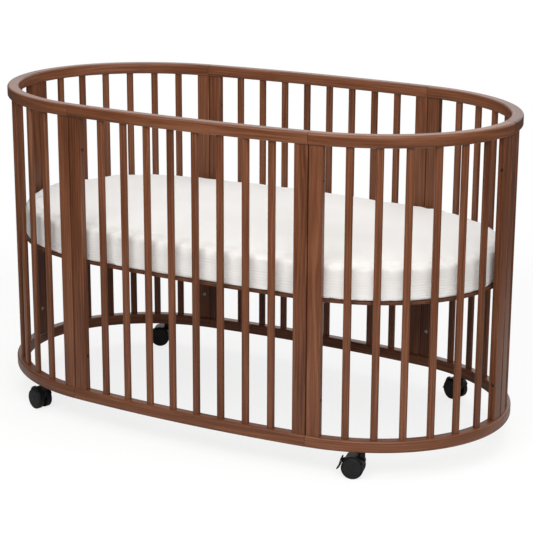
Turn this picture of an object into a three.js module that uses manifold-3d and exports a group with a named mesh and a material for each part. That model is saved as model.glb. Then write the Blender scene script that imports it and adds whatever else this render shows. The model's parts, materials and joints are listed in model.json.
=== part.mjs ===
// Oval wooden baby crib: six railed panels bolted into an oval ring,
// a height-set mattress base, a loose mattress and four braked twin-wheel casters.
// Millimetres, +Z up. Origin on the floor under the middle of the crib.
// +X runs along the length, -Y is the front side.
import * as THREE from 'three';
import { mergeVertices } from 'three/addons/utils/BufferGeometryUtils.js';
import Module from 'manifold-3d';

// ---------------------------------------------------------------- dimensions
const LENGTH = 1420;            // over the end rails
const WIDTH = 744;              // over the side rails, at their middle
const HEIGHT = 847;             // floor to the top of the top rail
const SIDE_SPAN = 678;          // side panel, joint to joint
const BOW = 15;                 // how far a side panel's middle stands outside its joints
const RAIL = 30;                // rails are square in section
const RAIL_ROUND = 6;           // rounding of a rail's long edges
const LOWER_RAIL_Z = 68;        // floor to the underside of the lower rail
const SEAM = 0.25;              // rail end to joint plane
const POST_W = 35;              // post, along the ring
const POST_D = 19;              // post, across the ring
const POST_ROUND = 2.5;
const POST_BACK = 1;            // post face to joint plane: the dark line between paired posts
const SPINDLE_W = 18.5;         // spindle, along the ring
const SPINDLE_D = 12;           // spindle, across the ring
const SPINDLE_ROUND = 4.5;
const SIDE_SPINDLES = 8;
const QUARTER_SPINDLES = 6;
const FIT = 0.3;                // gap between pieces that meet face to face

const BOLT_Z_UPPER = 735;       // connector bolts through each pair of posts
const BOLT_Z_LOWER = 190;
const BOLT_HEAD_R = 4.2;
const BOLT_HEAD_T = 1.6;
const BOLT_SHANK_R = 3;
const BOLT_HOLE_R = 3.7;

const BASE_Z = 432;             // underside of the mattress base
const BASE_T = 7;
const BASE_INSET = 33;          // edge of the base, inside the outer outline
const BATTEN_W = 40;
const BATTEN_H = 16;
const MATTRESS_INSET = 34;
const MATTRESS_TOP = 524;
const MATTRESS_ROUND = 17;

const BRACKET_T = 2.5;          // angle brackets that hold the base on the posts
const BRACKET_W = 30;
const BRACKET_UP = 47;
const BRACKET_IN = 40;

const WHEEL_R = 27.5;
const WHEEL_W = 16.5;
const WHEEL_GAP = 9;            // between the two wheels of a caster
const TRAIL = 20;               // stem axis to axle
const STEM_R = 4;
const STEM_HOLE_R = 4.9;
const STEM_TOP = 88;
const STEM_HOLE_TOP = 90;
const CASTER_PARAM = 0.453;     // place of a stem on the quarter oval, as the ellipse's parameter
// direction in which each caster's wheels trail, in degrees about +Z
const SWIVEL = { front_right: 194, front_left: 161, back_left: 200, back_right: 157 };

// plan of the rail centreline: a shallow circular arc along each side, and at each
// end two quarter ovals (one ellipse) that carry on from the arcs without a kink
const HALF = SIDE_SPAN / 2;
const ARC_R = (HALF * HALF + BOW * BOW) / (2 * BOW);       // outer face of a side rail
const JOINT_ANGLE = Math.asin(HALF / ARC_R);
const ARC_C = WIDTH / 2 - ARC_R;                           // arc centre, on the far side of the crib
const MID_R = ARC_R - RAIL / 2;
const JOINT_X = MID_R * Math.sin(JOINT_ANGLE);
const JOINT_Y = ARC_C + MID_R * Math.cos(JOINT_ANGLE);
const END_X = LENGTH / 2 - RAIL / 2;
const slope = Math.tan(JOINT_ANGLE) / JOINT_Y;
const reach = END_X - JOINT_X;
const lap = (slope * reach * reach) / (1 - 2 * slope * reach);
const OVAL_X = JOINT_X - lap;                              // centre of the end ellipse
const EX = reach + lap;                                    // its semi-axes
const A0 = Math.asin(lap / EX);
const EY = JOINT_Y / Math.cos(A0);
const TOP_RAIL_Z = HEIGHT - RAIL;
const LOWER_RAIL_TOP = LOWER_RAIL_Z + RAIL;

// ---------------------------------------------------------------- materials
const wood = () => new THREE.MeshStandardMaterial({ color: 0x74492f, roughness: 0.48, metalness: 0 });
const plywood = () => new THREE.MeshStandardMaterial({ color: 0x7a543a, roughness: 0.6, metalness: 0 });
const linen = () => new THREE.MeshStandardMaterial({ color: 0xf3f1ee, roughness: 0.9, metalness: 0 });
const blackPlastic = () => new THREE.MeshStandardMaterial({ color: 0x202021, roughness: 0.5, metalness: 0 });
const wheelPlastic = () => new THREE.MeshStandardMaterial({ color: 0x262627, roughness: 0.55, metalness: 0 });
const blackSteel = () => new THREE.MeshStandardMaterial({ color: 0x1c1b1a, roughness: 0.45, metalness: 0.7 });
const zincSteel = () => new THREE.MeshStandardMaterial({ color: 0xb9bbbd, roughness: 0.35, metalness: 0.9 });

// ---------------------------------------------------------------- solids
const wasm = await Module();
wasm.setup();

// one watertight shell: shared vertices merged, zero-area triangles dropped
function clean(geometry) {
  const g = geometry.clone();
  g.deleteAttribute('normal');
  g.deleteAttribute('uv');
  const merged = mergeVertices(g, 1e-4);
  const index = merged.index.array;
  const kept = [];
  for (let i = 0; i < index.length; i += 3) {
    const [a, b, c] = [index[i], index[i + 1], index[i + 2]];
    if (a !== b && b !== c && c !== a) kept.push(a, b, c);
  }
  merged.setIndex(kept);
  return merged;
}

function toManifold(geometry, matrix = null) {
  const g = clean(geometry);
  if (matrix) g.applyMatrix4(matrix);
  return new wasm.Manifold(new wasm.Mesh({
    numProp: 3,
    vertProperties: new Float32Array(g.attributes.position.array),
    triVerts: new Uint32Array(g.index.array),
  }));
}

function fromManifold(solid) {
  const mesh = solid.getMesh();
  const g = new THREE.BufferGeometry();
  g.setAttribute('position', new THREE.BufferAttribute(new Float32Array(mesh.vertProperties), 3));
  g.setIndex(new THREE.BufferAttribute(new Uint32Array(mesh.triVerts), 1));
  return g;
}

const shift = (x, y, z) => new THREE.Matrix4().makeTranslation(x, y, z);
const turnZ = (a) => new THREE.Matrix4().makeRotationZ(a);

// rectangle w x d centred on the origin, corners rounded with n chords each
function roundedRect(w, d, r, n = 1) {
  const pts = [];
  const corners = [[w / 2 - r, d / 2 - r, 0], [-w / 2 + r, d / 2 - r, 90], [-w / 2 + r, -d / 2 + r, 180], [w / 2 - r, -d / 2 + r, 270]];
  for (const [cx, cy, a0] of corners) {
    for (let i = 0; i <= n; i++) {
      const a = THREE.MathUtils.degToRad(a0 + (90 * i) / n);
      pts.push(new THREE.Vector2(cx + r * Math.cos(a), cy + r * Math.sin(a)));
    }
  }
  return new THREE.Shape(pts);
}

// prism of a shape drawn in XY, from z0 to z1
function prism(shape, z0, z1, curveSegments = 12) {
  const g = new THREE.ExtrudeGeometry(shape, { depth: z1 - z0, bevelEnabled: false, curveSegments });
  g.translate(0, 0, z0);
  return g;
}

// prism of a shape drawn in XZ, from y0 to y1
function prismY(shape, y0, y1) {
  const g = new THREE.ExtrudeGeometry(shape, { depth: y1 - y0, bevelEnabled: false });
  g.rotateX(Math.PI / 2);           // shape's y becomes z, its depth runs to -y
  g.translate(0, y1, 0);
  return g;
}

// closed round bar between two heights about +Z
function rod(r, z0, z1, segments = 12) {
  const g = new THREE.CylinderGeometry(r, r, z1 - z0, segments, 1);
  g.rotateX(Math.PI / 2);
  g.translate(0, 0, (z0 + z1) / 2);
  return g;
}

// ---------------------------------------------------------------- ring
// rail centreline of one quarter oval; sx, sy give the quadrant
class QuarterOval extends THREE.Curve {
  constructor(sx, sy, z, trim = 0) {
    super();
    Object.assign(this, { sx, sy, z, a0: A0 + trim / EX, a1: Math.PI / 2 - trim / EY });
    this.arcLengthDivisions = 400;
  }
  getPoint(t, target = new THREE.Vector3()) {
    const a = this.a0 + (this.a1 - this.a0) * t;
    return target.set(this.sx * (OVAL_X + EX * Math.sin(a)), this.sy * EY * Math.cos(a), this.z);
  }
  getTangent(t, target = new THREE.Vector3()) {
    const a = this.a0 + (this.a1 - this.a0) * t;
    return target.set(this.sx * EX * Math.cos(a), -this.sy * EY * Math.sin(a), 0).normalize();
  }
}

// rail centreline of a side panel, from -X to +X
class SideArc extends THREE.Curve {
  constructor(sy, z, trim = 0) {
    super();
    Object.assign(this, { sy, z, half: JOINT_ANGLE - trim / MID_R });
  }
  getPoint(t, target = new THREE.Vector3()) {
    const a = this.half * (2 * t - 1);
    return target.set(MID_R * Math.sin(a), this.sy * (ARC_C + MID_R * Math.cos(a)), this.z);
  }
  getTangent(t, target = new THREE.Vector3()) {
    const a = this.half * (2 * t - 1);
    return target.set(Math.cos(a), -this.sy * Math.sin(a), 0);
  }
}
const centreline = (panel, z, trim = 0) => (panel.side ? new SideArc(panel.sy, z, trim) : new QuarterOval(panel.sx, panel.sy, z, trim));

const panels = {
  front: { side: true, sx: 1, sy: -1 },
  back: { side: true, sx: 1, sy: 1 },
  front_right: { side: false, sx: 1, sy: -1 },
  back_right: { side: false, sx: 1, sy: 1 },
  back_left: { side: false, sx: -1, sy: 1 },
  front_left: { side: false, sx: -1, sy: -1 },
};

// a place on a panel's centreline, dist mm from its first joint plane:
// {x, y, angle}, where angle is the direction of the ring there
function station(panel, dist) {
  const curve = centreline(panel, 0);
  const u = dist / curve.getLength();
  const p = curve.getPointAt(u);
  const t = curve.getTangentAt(u);
  return { x: p.x, y: p.y, angle: Math.atan2(t.y, t.x) };
}
const panelLength = (panel) => centreline(panel, 0).getLength();

function railGeometry(panel, z0) {
  const section = roundedRect(RAIL, RAIL, RAIL_ROUND, 2);
  const path = centreline(panel, z0 + RAIL / 2, SEAM);
  return new THREE.ExtrudeGeometry(section, { steps: panel.side ? 6 : 12, bevelEnabled: false, extrudePath: path });
}

const group = new THREE.Group();
group.name = 'oval_baby_crib';
function add(name, geometry, material, parent = group) {
  const mesh = new THREE.Mesh(clean(geometry), material);
  mesh.name = name;
  parent.add(mesh);
  return mesh;
}

// ---------------------------------------------------------------- panels
const spindleSection = roundedRect(SPINDLE_W, SPINDLE_D, SPINDLE_ROUND, 2);
const postSection = roundedRect(POST_W, POST_D, POST_ROUND, 1);

// the six joints of the ring, with the direction of the ring there
const joints = {
  front_left: { x: -JOINT_X, y: -JOINT_Y, angle: -JOINT_ANGLE },
  front_right: { x: JOINT_X, y: -JOINT_Y, angle: JOINT_ANGLE },
  back_right: { x: JOINT_X, y: JOINT_Y, angle: -JOINT_ANGLE },
  back_left: { x: -JOINT_X, y: JOINT_Y, angle: JOINT_ANGLE },
  right_end: { x: END_X, y: 0, angle: Math.PI / 2 },
  left_end: { x: -END_X, y: 0, angle: Math.PI / 2 },
};

for (const [name, panel] of Object.entries(panels)) {
  // top rail
  add(`top_rail_${name}`, railGeometry(panel, TOP_RAIL_Z), wood());

  // lower rail with its glued-in spindles
  const count = panel.side ? SIDE_SPINDLES : QUARTER_SPINDLES;
  const length = panelLength(panel);
  const clear = length - 2 * (POST_BACK + POST_W) - count * SPINDLE_W;
  const gap = clear / (count + 1);
  let row = toManifold(railGeometry(panel, LOWER_RAIL_Z));
  for (let i = 0; i < count; i++) {
    const at = station(panel, POST_BACK + POST_W + gap * (i + 1) + SPINDLE_W * (i + 0.5));
    const m = shift(at.x, at.y, 0).multiply(turnZ(at.angle));
    row = row.add(toManifold(prism(spindleSection, LOWER_RAIL_TOP - 9, TOP_RAIL_Z - FIT), m));
  }
  if (!panel.side) {
    // blind hole for the caster's stem
    const cx = panel.sx * (OVAL_X + EX * Math.sin(CASTER_PARAM));
    const cy = panel.sy * EY * Math.cos(CASTER_PARAM);
    row = row.subtract(toManifold(rod(STEM_HOLE_R, LOWER_RAIL_Z - 5, STEM_HOLE_TOP), shift(cx, cy, 0)));
  }
  add(`lower_rail_and_spindles_${name}`, fromManifold(row), wood());

  // the two end posts, each drilled for the two connector bolts
  const ends = panel.side
    ? [['left', 'front_left', 'back_left'], ['right', 'front_right', 'back_right']]
    : [['side', name, name], ['end', panel.sx > 0 ? 'right_end' : 'left_end', panel.sx > 0 ? 'right_end' : 'left_end']];
  ends.forEach(([end, jFront, jBack], k) => {
    const joint = joints[panel.sy < 0 ? jFront : jBack];
    const at = station(panel, k === 0 ? POST_BACK + POST_W / 2 : length - POST_BACK - POST_W / 2);
    const place = shift(at.x, at.y, 0).multiply(turnZ(at.angle));
    const inverse = place.clone().invert();
    let post = toManifold(prism(postSection, LOWER_RAIL_TOP + FIT, TOP_RAIL_Z - FIT));
    for (const z of [BOLT_Z_UPPER, BOLT_Z_LOWER]) {
      const hole = rod(BOLT_HOLE_R, -60, 60, 8);
      hole.rotateY(Math.PI / 2);
      const m = inverse.clone().multiply(shift(joint.x, joint.y, z)).multiply(turnZ(joint.angle));
      post = post.subtract(toManifold(hole, m));
    }
    const mesh = add(`post_${name}_${end}`, fromManifold(post), wood());
    mesh.position.set(at.x, at.y, 0);
    mesh.rotation.z = at.angle;
  });
}

// ---------------------------------------------------------------- connector bolts
// a sleeve bolt clamps two posts together: a low head on each outer face
for (const [name, joint] of Object.entries(joints)) {
  for (const [level, z] of [['upper', BOLT_Z_UPPER], ['lower', BOLT_Z_LOWER]]) {
    const half = POST_BACK + POST_W + 0.5;   // heads stand clear of the slightly turned post faces
    const g = new THREE.LatheGeometry([
      new THREE.Vector2(0, -half - BOLT_HEAD_T),
      new THREE.Vector2(BOLT_HEAD_R, -half - BOLT_HEAD_T),
      new THREE.Vector2(BOLT_HEAD_R, -half),
      new THREE.Vector2(BOLT_SHANK_R, -half),
      new THREE.Vector2(BOLT_SHANK_R, half),
      new THREE.Vector2(BOLT_HEAD_R, half),
      new THREE.Vector2(BOLT_HEAD_R, half + BOLT_HEAD_T),
      new THREE.Vector2(0, half + BOLT_HEAD_T),
    ], 8);
    g.rotateZ(Math.PI / 2);
    const mesh = add(`connector_bolt_${name}_${level}`, g, blackSteel());
    mesh.position.set(joint.x, joint.y, z);
    mesh.rotation.z = joint.angle;
  }
}

// ---------------------------------------------------------------- mattress base
// the crib's plan outline, inset from the outer faces of the rails
function ovalPlan(inset, sideSteps = 4, endSteps = 9) {
  const off = RAIL / 2 - inset;
  const quarter = [];
  for (let i = 0; i < sideSteps; i++) {
    const a = (JOINT_ANGLE * i) / sideSteps;
    quarter.push([(MID_R + off) * Math.sin(a), ARC_C + (MID_R + off) * Math.cos(a)]);
  }
  for (let i = 0; i <= endSteps; i++) {
    const a = A0 + ((Math.PI / 2 - A0) * i) / endSteps;
    const n = Math.hypot(EY * Math.sin(a), EX * Math.cos(a));
    quarter.push([OVAL_X + EX * Math.sin(a) + (off * EY * Math.sin(a)) / n, EY * Math.cos(a) + (off * EX * Math.cos(a)) / n]);
  }
  const back = quarter.slice(0, -1).reverse();
  const pts = [
    ...quarter.map(([x, y]) => [x, -y]),
    ...back.map(([x, y]) => [x, y]),
    ...quarter.slice(1).map(([x, y]) => [-x, y]),
    ...back.slice(0, -1).map(([x, y]) => [-x, -y]),
  ];
  return new THREE.Shape(pts.map(([x, y]) => new THREE.Vector2(x, y)));
}

const board = ovalPlan(BASE_INSET);
const SLOT_L = 130, SLOT_W = 26;
for (const x of [-540, -430, -240, -130, 130, 240, 430, 540]) {
  for (const y of [-120, 120]) {
    if (Math.abs(x) > 500) { if (y > 0) continue; }
    const yc = Math.abs(x) > 500 ? 0 : y;
    const pts = roundedRect(SLOT_W, SLOT_L, SLOT_W / 2 - 2, 1).getPoints().map((p) => new THREE.Vector2(p.x + x, p.y + yc));
    board.holes.push(new THREE.Path(pts.reverse()));
  }
}
let base = toManifold(prism(board, BASE_Z, BASE_Z + BASE_T));
for (const x of [-335, 0, 335]) {
  const batten = roundedRect(BATTEN_W, 500, 4, 1);
  base = base.add(toManifold(prism(batten, BASE_Z - BATTEN_H, BASE_Z + 1), shift(x, 0, 0)));
}
add('mattress_base', fromManifold(base), plywood());

// ---------------------------------------------------------------- mattress
const padDepth = MATTRESS_TOP - (BASE_Z + BASE_T + FIT) - 2 * MATTRESS_ROUND;
const pad = new THREE.ExtrudeGeometry(ovalPlan(MATTRESS_INSET), {
  depth: padDepth,
  bevelEnabled: true, bevelThickness: MATTRESS_ROUND, bevelSize: MATTRESS_ROUND, bevelOffset: -MATTRESS_ROUND, bevelSegments: 2,
});
pad.translate(0, 0, BASE_Z + BASE_T + FIT + MATTRESS_ROUND);
add('mattress', pad, linen());

// ---------------------------------------------------------------- base brackets
// an angle screwed to the inner face of a quarter panel's post: its foot carries the base
const bracketShape = new THREE.Shape([
  new THREE.Vector2(0, 0), new THREE.Vector2(BRACKET_IN, 0), new THREE.Vector2(BRACKET_IN, BRACKET_T),
  new THREE.Vector2(BRACKET_T, BRACKET_T), new THREE.Vector2(BRACKET_T, BRACKET_UP), new THREE.Vector2(0, BRACKET_UP),
]);
const bracketSeats = [
  ['front_right', 'front_right', 0], ['back_right', 'back_right', 0],
  ['back_left', 'back_left', 0], ['front_left', 'front_left', 0],
  ['right_end', 'back_right', 1], ['left_end', 'front_left', 1],
];
for (const [name, panelName, k] of bracketSeats) {
  const panel = panels[panelName];
  const at = station(panel, k === 0 ? POST_BACK + POST_W / 2 : panelLength(panel) - POST_BACK - POST_W / 2);
  // inward normal of the ring at the post
  let inward = at.angle + Math.PI / 2;
  if (Math.cos(inward) * at.x + Math.sin(inward) * at.y > 0) inward += Math.PI;
  const g = prismY(bracketShape, -BRACKET_W / 2, BRACKET_W / 2);
  const mesh = add(`base_bracket_${name}`, g, zincSteel());
  const off = POST_D / 2 + FIT;
  mesh.position.set(at.x + off * Math.cos(inward), at.y + off * Math.sin(inward), BASE_Z - FIT - BRACKET_T);
  mesh.rotation.z = inward;
}

// ---------------------------------------------------------------- casters
// drawn with the stem axis on the origin and the wheels trailing to -X
const AXLE_Z = WHEEL_R;
const polar = (r, deg) => new THREE.Vector2(-TRAIL + r * Math.cos(THREE.MathUtils.degToRad(deg)), AXLE_Z + r * Math.sin(THREE.MathUtils.degToRad(deg)));
const LEVER_PIVOT = new THREE.Vector2(-49.5, 41);
const PIN_R = 1.6;

function arcBand(r0, r1, a0, a1, n) {
  const pts = [];
  for (let i = 0; i <= n; i++) pts.push(polar(r1, a0 + ((a1 - a0) * i) / n));
  for (let i = n; i >= 0; i--) pts.push(polar(r0, a0 + ((a1 - a0) * i) / n));
  return new THREE.Shape(pts);
}

function casterHousing() {
  const HOOD_IN = WHEEL_R + 1.2, HOOD_OUT = WHEEL_R + 3.6;
  // web between the wheels, with the lug for the brake lever at the back
  const web = new THREE.Shape([
    polar(HOOD_OUT - 0.6, 30), polar(HOOD_OUT - 0.6, 50), polar(HOOD_OUT - 0.6, 70), polar(HOOD_OUT - 0.6, 90),
    polar(HOOD_OUT - 0.6, 110), polar(HOOD_OUT - 0.6, 128), new THREE.Vector2(LEVER_PIVOT.x + 3, LEVER_PIVOT.y + 5),
    new THREE.Vector2(LEVER_PIVOT.x - 1.5, LEVER_PIVOT.y + 4), new THREE.Vector2(LEVER_PIVOT.x - 3.6, LEVER_PIVOT.y + 1),
    new THREE.Vector2(LEVER_PIVOT.x - 3, LEVER_PIVOT.y - 2.6), new THREE.Vector2(LEVER_PIVOT.x + 1, LEVER_PIVOT.y - 4),
    new THREE.Vector2(-36, 20), new THREE.Vector2(-22, 16), new THREE.Vector2(-8, 20), new THREE.Vector2(2, 32),
  ].reverse());
  let body = toManifold(prismY(web, -3.3, 3.3));
  const lugHole = rod(PIN_R + 0.5, -10, 10, 8);
  lugHole.rotateX(Math.PI / 2);
  body = body.subtract(toManifold(lugHole, shift(LEVER_PIVOT.x, 0, LEVER_PIVOT.y)));
  body = body.add(toManifold(prismY(arcBand(HOOD_IN, HOOD_OUT, 128, 36, 8), -19.5, 19.5)));
  // boss and stem
  const post = new THREE.LatheGeometry([
    new THREE.Vector2(0, 52.6), new THREE.Vector2(7.4, 52.6), new THREE.Vector2(9, 55), new THREE.Vector2(9, 66.2),
    new THREE.Vector2(8.2, 67), new THREE.Vector2(STEM_R, 67), new THREE.Vector2(STEM_R, STEM_TOP - 1.2),
    new THREE.Vector2(STEM_R - 1.2, STEM_TOP), new THREE.Vector2(0, STEM_TOP),
  ], 12);
  post.rotateX(Math.PI / 2);
  body = body.add(toManifold(post));
  // fixed axle
  const axle = rod(3, -19.4, 19.4, 10);
  axle.rotateX(Math.PI / 2);
  return fromManifold(body.add(toManifold(axle, shift(-TRAIL, 0, AXLE_Z))));
}

// a wheel as a blind cup on the axle; side = +1 or -1 along Y
function casterWheel(side) {
  const n = 20;
  const r = WHEEL_R / Math.cos(Math.PI / n);
  const y0 = WHEEL_GAP / 2, y1 = y0 + WHEEL_W;
  const profile = [
    [0, y1 + 0.6], [r - 3.5, y1 - 0.6], [r, y1 - 3.5], [r, y0], [3.7, y0], [3.7, y1 - 1.6], [0, y1 - 1.6],
  ].map(([x, y]) => new THREE.Vector2(x, y));
  if (side > 0) profile.reverse();
  const g = new THREE.LatheGeometry(side > 0 ? profile : profile.map((p) => new THREE.Vector2(p.x, -p.y)), n);
  g.rotateY(Math.PI / n);
  return g;
}

// rocking brake lever behind the wheels, straddling the lug, with its pin
function brakeLever() {
  const P = LEVER_PIVOT;
  const lever = new THREE.Shape([
    new THREE.Vector2(-45.4, 51.2), new THREE.Vector2(-48.8, 51.6), new THREE.Vector2(-50.4, 46), new THREE.Vector2(-52.6, 40),
    new THREE.Vector2(-54.8, 31), new THREE.Vector2(-56.2, 26.4), new THREE.Vector2(-61.5, 19.4), new THREE.Vector2(-59.4, 17.6),
    new THREE.Vector2(-53.0, 23.4), new THREE.Vector2(-51.6, 28), new THREE.Vector2(-50.3, 33), new THREE.Vector2(-47.4, 41), new THREE.Vector2(-46.1, 47.6),
  ]);
  let body = toManifold(prismY(lever, -10, 10));
  const notch = new THREE.BoxGeometry(14, 8, 13);
  body = body.subtract(toManifold(notch, shift(P.x, 0, P.y)));
  const pin = rod(PIN_R, -9.4, 9.4, 8);
  pin.rotateX(Math.PI / 2);
  return fromManifold(body.add(toManifold(pin, shift(P.x, 0, P.y))));
}

for (const [name, degrees] of Object.entries(SWIVEL)) {
  const panel = panels[name];
  const caster = new THREE.Group();
  caster.position.set(panel.sx * (OVAL_X + EX * Math.sin(CASTER_PARAM)), panel.sy * EY * Math.cos(CASTER_PARAM), 0);
  caster.rotation.z = THREE.MathUtils.degToRad(degrees - 180);
  add(`caster_${name}_housing`, casterHousing(), blackPlastic(), caster);
  for (const side of [1, -1]) {
    const wheel = add(`caster_${name}_wheel_${side > 0 ? 'a' : 'b'}`, casterWheel(side), wheelPlastic(), caster);
    wheel.position.set(-TRAIL, 0, AXLE_Z);
  }
  add(`caster_${name}_brake_lever`, brakeLever(), blackPlastic(), caster);
  group.add(caster);
}

export default group;
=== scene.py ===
import json
import math
import random

import bmesh
import bpy
from mathutils import Matrix, Vector, noise

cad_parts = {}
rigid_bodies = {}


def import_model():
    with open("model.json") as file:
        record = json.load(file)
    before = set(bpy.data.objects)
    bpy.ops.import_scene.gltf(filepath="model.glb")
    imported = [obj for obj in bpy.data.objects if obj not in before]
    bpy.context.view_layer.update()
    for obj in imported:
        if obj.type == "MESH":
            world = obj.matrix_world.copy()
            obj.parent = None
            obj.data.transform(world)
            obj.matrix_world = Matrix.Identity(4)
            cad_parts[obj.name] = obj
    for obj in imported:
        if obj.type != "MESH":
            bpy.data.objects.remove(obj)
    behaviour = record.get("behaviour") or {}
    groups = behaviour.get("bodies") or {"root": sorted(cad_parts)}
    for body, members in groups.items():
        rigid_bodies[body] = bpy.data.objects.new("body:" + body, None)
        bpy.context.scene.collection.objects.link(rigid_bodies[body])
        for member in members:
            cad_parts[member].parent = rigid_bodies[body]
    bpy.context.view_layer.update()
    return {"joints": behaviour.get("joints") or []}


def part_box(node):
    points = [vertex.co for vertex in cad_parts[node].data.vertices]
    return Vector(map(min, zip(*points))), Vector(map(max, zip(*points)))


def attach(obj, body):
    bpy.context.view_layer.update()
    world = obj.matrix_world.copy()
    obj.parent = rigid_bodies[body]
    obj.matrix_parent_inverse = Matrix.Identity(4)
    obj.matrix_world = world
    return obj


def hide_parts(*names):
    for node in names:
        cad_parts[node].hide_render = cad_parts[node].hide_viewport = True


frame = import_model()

scene = bpy.context.scene
MM = 0.001


def span(*nodes):
    """Lowest and highest corner over several CAD nodes."""
    lo, hi = Vector((9, 9, 9)), Vector((-9, -9, -9))
    for n in nodes:
        a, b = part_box(n)
        lo = Vector(map(min, lo, a))
        hi = Vector(map(max, hi, b))
    return lo, hi


PANELS = {
    "front": (True, 1, -1),
    "back": (True, 1, 1),
    "front_right": (False, 1, -1),
    "back_right": (False, 1, 1),
    "back_left": (False, -1, 1),
    "front_left": (False, -1, -1),
}
top_lo, top_hi = span(*[f"top_rail_{p}" for p in PANELS])
low_lo, low_hi = span(*[f"lower_rail_and_spindles_{p}" for p in PANELS])

# ---------------------------------------------------------------- plan of the ring
RAIL = top_hi.z - top_lo.z
TOP_Z0, TOP_Z1 = top_lo.z, top_hi.z
LOW_Z0 = low_lo.z
LOW_Z1 = LOW_Z0 + RAIL
LENGTH = top_hi.x - top_lo.x
WIDTH = top_hi.y - top_lo.y
SIDE_SPAN, BOW = 0.678, 0.015
SEAM = 0.00025
POST_W, POST_D, POST_BACK = 0.035, 0.019, 0.001
SPINDLE_W, SPINDLE_D, SPINDLE_ROUND = 0.0185, 0.012, 0.0045
SIDE_SPINDLES, QUARTER_SPINDLES = 8, 6

HALF = SIDE_SPAN / 2
ARC_R = (HALF * HALF + BOW * BOW) / (2 * BOW)
JOINT_ANGLE = math.asin(HALF / ARC_R)
ARC_C = WIDTH / 2 - ARC_R
MID_R = ARC_R - RAIL / 2
JOINT_X = MID_R * math.sin(JOINT_ANGLE)
JOINT_Y = ARC_C + MID_R * math.cos(JOINT_ANGLE)
END_X = LENGTH / 2 - RAIL / 2
_slope = math.tan(JOINT_ANGLE) / JOINT_Y
_reach = END_X - JOINT_X
_lap = _slope * _reach * _reach / (1 - 2 * _slope * _reach)
OVAL_X = JOINT_X - _lap
EX = _reach + _lap
A0 = math.asin(_lap / EX)
EY = JOINT_Y / math.cos(A0)


class Path:
    """Rail centreline of one panel, sampled finely: place(distance) -> x, y, direction."""

    def __init__(self, name, n=1600):
        side, sx, sy = PANELS[name]
        pts = []
        for i in range(n + 1):
            t = i / n
            if side:
                a = JOINT_ANGLE * (2 * t - 1)
                pts.append((MID_R * math.sin(a), sy * (ARC_C + MID_R * math.cos(a)), math.atan2(-sy * math.sin(a), math.cos(a))))
            else:
                a = A0 + (math.pi / 2 - A0) * t
                pts.append((sx * (OVAL_X + EX * math.sin(a)), sy * EY * math.cos(a), math.atan2(-sy * EY * math.sin(a), sx * EX * math.cos(a))))
        self.pts, self.s = pts, [0.0]
        for p, q in zip(pts, pts[1:]):
            self.s.append(self.s[-1] + math.hypot(q[0] - p[0], q[1] - p[1]))
        self.length = self.s[-1]

    def place(self, d):
        d = min(max(d, 0.0), self.length)
        lo, hi = 0, len(self.s) - 1
        while hi - lo > 1:
            m = (lo + hi) // 2
            if self.s[m] <= d:
                lo = m
            else:
                hi = m
        f = (d - self.s[lo]) / (self.s[hi] - self.s[lo])
        a, b = self.pts[lo], self.pts[hi]
        turn = (b[2] - a[2] + math.pi) % (2 * math.pi) - math.pi
        return a[0] + (b[0] - a[0]) * f, a[1] + (b[1] - a[1]) * f, a[2] + turn * f


paths = {n: Path(n) for n in PANELS}


def outline(inset, step=0.012):
    """Plan outline of the crib, inset from the rails' outer faces, anticlockwise."""
    off = RAIL / 2 - inset
    pts = []
    order = [("front", 1), ("front_right", 1), ("back_right", -1), ("back", -1), ("back_left", 1), ("front_left", -1)]
    for name, way in order:
        path = paths[name]
        n = max(8, round(path.length / step))
        for i in range(n):
            d = path.length * i / n
            x, y, a = path.place(d if way > 0 else path.length - d)
            nx, ny = -math.sin(a), math.cos(a)
            if nx * x + ny * y < 0:
                nx, ny = -nx, -ny
            pts.append((x + nx * off, y + ny * off))
    return pts


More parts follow.
